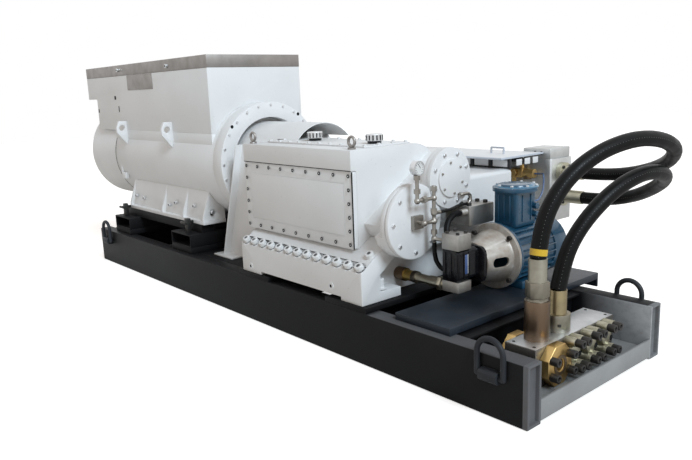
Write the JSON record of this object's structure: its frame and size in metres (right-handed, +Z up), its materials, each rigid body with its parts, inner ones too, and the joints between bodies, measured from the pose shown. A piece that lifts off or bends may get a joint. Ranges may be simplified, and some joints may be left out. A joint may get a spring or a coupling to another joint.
{
  "type": "emulsion pump",
  "caption": "High pressure plunger pump with its electric motor, coupling guard, oil pump set and delivery manifold on one welded skid with folding lifting rings.",
  "frame": {"origin": "middle of the skid's footprint, on the plane it stands on", "axes": "+X along the skid from the motor towards the delivery manifold, +Y across it towards the pump head, +Z up"},
  "size_m": [4.5576, 1.757, 1.545],
  "materials": {
    "skid_black": "satin dark paint on rolled steel",
    "platform_slate": "satin slate paint",
    "plate_grey": "thin grey paint, scuffed",
    "ring_grey": "matt dark grey",
    "white_paint": "semi gloss white enamel",
    "stainless": "brushed, slightly dull",
    "head_steel": "milled stainless",
    "cast_grey": "raw cast and turned",
    "motor_blue": "gloss blue enamel",
    "pump_black": "gloss black enamel",
    "brass": "turned brass",
    "bronze": "dull bronze",
    "zinc": "olive zinc plate",
    "pipe_steel": "browned steel fittings",
    "screw_black": "black oxide",
    "galvanised": "bright zinc",
    "cover_navy": "dark navy edge",
    "hose_black": "satin black hose cover",
    "cable_blue": "thin blue cable sheath"
  },
  "bodies": {
    "root": {"skid_beam_near": "skid_black", "skid_beam_far": "skid_black", "skid_cross_members": "skid_black", "skid_deck": "skid_black", "manifold_floor": "plate_grey", "pump_base_bars": "skid_black", "lifting_lugs": "ring_grey", "motor_body": "white_paint", "motor_rear_cowl": "white_paint", "motor_front_flange": "white_paint", "motor_hood": "white_paint", "hood_rim": "stainless", "motor_lifting_plates": "white_paint", "motor_feet": "white_paint", "motor_cross_beams": "skid_black", "cross_beam_pads": "skid_black", "motor_rails": "skid_black", "jacking_screws": "skid_black", "coupling_guard": "white_paint", "guard_stands": "white_paint", "lower_casing": "white_paint", "upper_casing": "white_paint", "casing_screws": "white_paint", "side_lid": "white_paint", "top_cover": "white_paint", "crank_bearing_cover": "white_paint", "input_bearing_cover": "white_paint", "breather_caps": "galvanised", "eyebolts": "galvanised", "crosshead_housing": "white_paint", "plunger_chamber": "white_paint", "window_frame": "cover_navy", "plunger_cover": "white_paint", "pump_head": "head_steel", "head_top_block": "head_steel", "head_outlets": "zinc", "head_valve": "brass", "lube_platform": "platform_slate", "lube_motor": "motor_blue", "lube_terminal_box": "motor_blue", "bell_housing": "cast_grey", "gear_pump": "pump_black", "pump_port_blocks": "head_steel", "lube_valve_block": "cast_grey", "suction_pipe": "pipe_steel", "gauge_pipework": "pipe_steel", "pressure_gauge": "galvanised", "manifold_block": "bronze", "manifold_flanges": "brass", "small_port_flanges": "zinc", "manifold_screws": "screw_black", "hose_fittings": "bronze", "hose_upper": "hose_black", "hose_lower": "hose_black", "oil_hoses": "hose_black", "valve_cable": "cable_blue"},
    "ring_near_front": {"ring_near_front": "ring_grey"},
    "ring_near_rear": {"ring_near_rear": "ring_grey"},
    "ring_far_front": {"ring_far_front": "ring_grey"},
    "ring_far_rear": {"ring_far_rear": "ring_grey"}
  },
  "joints": [
    {"name": "ring_near_front_fold", "type": "hinge", "parent": "root", "child": "ring_near_front", "pos_m": [1.895, -0.549, 0.182], "axis": [1, 0, 0], "range_deg": [0, 180]},
    {"name": "ring_near_rear_fold", "type": "hinge", "parent": "root", "child": "ring_near_rear", "pos_m": [-1.895, -0.549, 0.182], "axis": [1, 0, 0], "range_deg": [0, 180]},
    {"name": "ring_far_front_fold", "type": "hinge", "parent": "root", "child": "ring_far_front", "pos_m": [1.895, 0.549, 0.182], "axis": [-1, 0, 0], "range_deg": [0, 180]},
    {"name": "ring_far_rear_fold", "type": "hinge", "parent": "root", "child": "ring_far_rear", "pos_m": [-1.895, 0.549, 0.182], "axis": [-1, 0, 0], "range_deg": [0, 180]}
  ]
}
